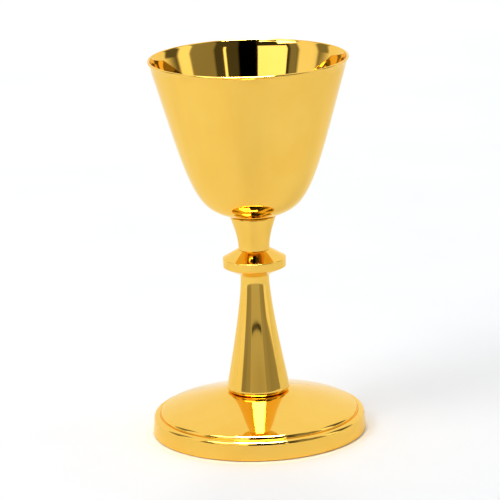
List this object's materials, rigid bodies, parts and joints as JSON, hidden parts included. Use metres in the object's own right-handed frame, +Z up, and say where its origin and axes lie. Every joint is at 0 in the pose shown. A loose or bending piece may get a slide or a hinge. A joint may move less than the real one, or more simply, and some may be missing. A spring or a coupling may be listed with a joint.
{
  "type": "communion chalice",
  "caption": "Footed drinking cup for communion: conical cup on a trumpet neck, disc knob, flared stem and low domed round foot, clamped on a central tie rod.",
  "frame": {"origin": "centre of the foot's rim, on the surface the chalice stands on", "axes": "+Z up along the chalice's axis, towards the lip; -Y is the front, and all outer pieces are round"},
  "size_m": [0.1, 0.1, 0.1771],
  "materials": {
    "gold_plate": "mirror-polished gold electroplate on brass",
    "turned_brass": "turned, unplated",
    "zinc_plated_steel": "bright zinc plate"
  },
  "bodies": {
    "root": {"cup": "gold_plate", "cup_boss": "turned_brass", "neck": "gold_plate", "knob": "gold_plate", "stem": "gold_plate", "stem_plug": "turned_brass", "foot": "gold_plate", "clamp_disc": "turned_brass", "tie_rod": "zinc_plated_steel", "flat_washer": "zinc_plated_steel", "spring_washer": "zinc_plated_steel", "hex_nut": "zinc_plated_steel"}
  },
  "joints": []
}
